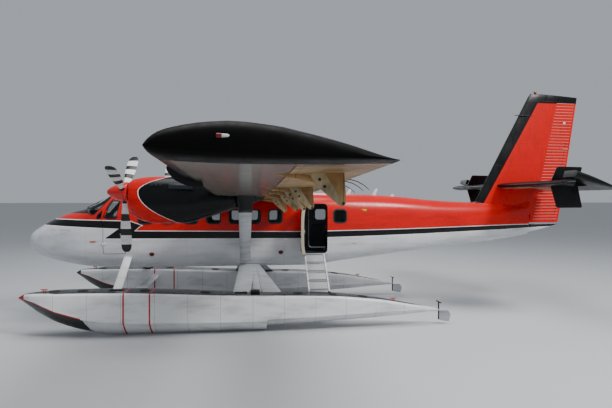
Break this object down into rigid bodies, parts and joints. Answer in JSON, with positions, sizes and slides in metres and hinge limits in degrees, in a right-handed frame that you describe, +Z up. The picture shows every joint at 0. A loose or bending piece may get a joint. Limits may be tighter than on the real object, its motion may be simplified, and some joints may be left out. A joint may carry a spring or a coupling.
{
  "type": "twin-turboprop high-wing utility floatplane",
  "caption": "High-wing twin-turboprop floatplane in red, white and black, on twin floats with its port rear cabin door open and a boarding ladder.",
  "frame": {"origin": "centre of the bounding box in plan, at the height of the float keels", "axes": "+X aft towards the tail, +Y to starboard, +Z up; the wing span along Y is the longest extent"},
  "size_m": [15.09, 19.81, 6.0997],
  "materials": {
    "red_paint": "gloss red polyurethane paint on aluminium sheet",
    "white_paint": "gloss white paint on aluminium sheet",
    "grey_paint": "gloss light grey paint on aluminium sheet",
    "cream_paint": "satin weathered cream paint on aluminium sheet",
    "black_paint": "gloss black paint and de-icing rubber",
    "ladder_aluminium": "satin",
    "engine_iron": "dull heat-stained steel",
    "windscreen_glass": "clear",
    "seat_leather": "worn satin",
    "cabin_trim": "matte",
    "black_plastic": "matte"
  },
  "bodies": {
    "airframe": {"nose": "red_paint", "belly": "white_paint", "cockpit_shell": "red_paint", "cabin_side_port": "red_paint", "cabin_side_starboard": "red_paint", "cabin_roof": "red_paint", "tail_cone": "red_paint", "rear_bulkhead": "cabin_trim", "windscreen_port": "windscreen_glass", "windscreen_starboard": "windscreen_glass", "cockpit_bulkhead": "cabin_trim", "instrument_panel": "cabin_trim", "control_column": "black_plastic", "crew_seat_port": "seat_leather", "crew_seat_starboard": "seat_leather", "seat_row_1": "seat_leather", "seat_row_2": "seat_leather", "seat_row_3": "seat_leather", "seat_row_4": "seat_leather", "seat_row_5": "seat_leather", "rear_bench": "seat_leather", "fin": "red_paint", "front_spreader": "grey_paint", "rear_spreader": "grey_paint", "ladder": "ladder_aluminium", "wing_port": "grey_paint", "wing_starboard": "grey_paint", "wing_fence_port": "black_paint", "wing_fence_starboard": "black_paint", "wing_strut_port": "grey_paint", "wing_strut_starboard": "grey_paint", "nacelle_port": "black_paint", "nacelle_starboard": "black_paint", "engine_port": "engine_iron", "engine_starboard": "engine_iron", "tailplane_port": "black_paint", "tailplane_starboard": "black_paint", "finlet_port": "black_paint", "finlet_starboard": "black_paint", "float_port": "white_paint", "float_starboard": "white_paint", "front_leg_port": "white_paint", "front_leg_starboard": "white_paint", "rear_leg_port": "grey_paint", "rear_leg_starboard": "grey_paint"},
    "propeller_port_body": {"propeller_port": "black_paint"},
    "propeller_starboard_body": {"propeller_starboard": "black_paint"},
    "cabin_door_port_body": {"cabin_door_port": "red_paint"},
    "cabin_door_starboard_body": {"cabin_door_starboard": "red_paint"},
    "crew_door_port_body": {"crew_door_port": "red_paint"},
    "crew_door_starboard_body": {"crew_door_starboard": "red_paint"},
    "flap_port_body": {"flap_port": "cream_paint"},
    "flap_starboard_body": {"flap_starboard": "cream_paint"},
    "aileron_port_body": {"aileron_port": "cream_paint"},
    "aileron_starboard_body": {"aileron_starboard": "cream_paint"},
    "rudder_body": {"rudder": "red_paint"},
    "elevator_port_body": {"elevator_port": "black_paint"},
    "elevator_starboard_body": {"elevator_starboard": "black_paint"},
    "water_rudder_port_body": {"water_rudder_port": "ladder_aluminium"},
    "water_rudder_starboard_body": {"water_rudder_starboard": "ladder_aluminium"}
  },
  "joints": [
    {"name": "propeller_port", "type": "hinge", "parent": "airframe", "child": "propeller_port_body", "pos_m": [-4.595, -2.8, 3.2], "axis": [1, 0, 0], "continuous": true},
    {"name": "propeller_starboard", "type": "hinge", "parent": "airframe", "child": "propeller_starboard_body", "pos_m": [-4.595, 2.8, 3.2], "axis": [1, 0, 0], "continuous": true},
    {"name": "cabin_door_port", "type": "hinge", "parent": "airframe", "child": "cabin_door_port_body", "pos_m": [-0.669, -0.8889, 2.3], "axis": [0, 0, 1], "range_deg": [0, 98]},
    {"name": "cabin_door_starboard", "type": "hinge", "parent": "airframe", "child": "cabin_door_starboard_body", "pos_m": [-0.259, 0.877, 2.3], "axis": [0, 0, 1], "range_deg": [0, 104]},
    {"name": "crew_door_port", "type": "hinge", "parent": "airframe", "child": "crew_door_port_body", "pos_m": [-5.564, -0.8545, 2.3], "axis": [0, 0, -1], "range_deg": [0, 75]},
    {"name": "crew_door_starboard", "type": "hinge", "parent": "airframe", "child": "crew_door_starboard_body", "pos_m": [-5.564, 0.8545, 2.3], "axis": [0, 0, 1], "range_deg": [0, 75]},
    {"name": "flap_starboard", "type": "hinge", "parent": "airframe", "child": "flap_starboard_body", "pos_m": [-1.345, 3.3, 3.0532], "axis": [0, 0.9994, 0.0352], "range_deg": [0, 37.5]},
    {"name": "flap_port", "type": "hinge", "parent": "airframe", "child": "flap_port_body", "pos_m": [-1.345, -3.3, 3.0532], "axis": [0, 0.9994, -0.0352], "range_deg": [0, 37.5]},
    {"name": "aileron_starboard", "type": "hinge", "parent": "airframe", "child": "aileron_starboard_body", "pos_m": [-1.345, 7.6, 3.2046], "axis": [0, 0.9994, 0.0352], "range_deg": [-17, 17]},
    {"name": "aileron_port", "type": "hinge", "parent": "airframe", "child": "aileron_port_body", "pos_m": [-1.345, -7.6, 3.2046], "axis": [0, 0.9994, -0.0352], "range_deg": [-17, 17]},
    {"name": "rudder", "type": "hinge", "parent": "airframe", "child": "rudder_body", "pos_m": [6.075, 0, 2.38], "axis": [0.2141, 0, 0.9768], "range_deg": [-25, 25]},
    {"name": "elevator_starboard", "type": "hinge", "parent": "airframe", "child": "elevator_starboard_body", "pos_m": [6.015, 1.5, 3.43], "axis": [0, -1, 0], "range_deg": [0, 44]},
    {"name": "elevator_port", "type": "hinge", "parent": "airframe", "child": "elevator_port_body", "pos_m": [6.015, -1.5, 3.43], "axis": [0, -1, 0], "range_deg": [0, 44]},
    {"name": "water_rudder_starboard", "type": "hinge", "parent": "airframe", "child": "water_rudder_starboard_body", "pos_m": [2.593, 1.95, 0.3], "axis": [0, 0, 1], "range_deg": [-30, 30]},
    {"name": "water_rudder_port", "type": "hinge", "parent": "airframe", "child": "water_rudder_port_body", "pos_m": [2.593, -1.95, 0.3], "axis": [0, 0, 1], "range_deg": [-30, 30]}
  ],
  "couplings": [
    {"joint": "flap_port", "follows": "flap_starboard", "ratio": 1},
    {"joint": "aileron_port", "follows": "aileron_starboard", "ratio": -1},
    {"joint": "elevator_port", "follows": "elevator_starboard", "ratio": 1},
    {"joint": "water_rudder_port", "follows": "water_rudder_starboard", "ratio": 1}
  ]
}
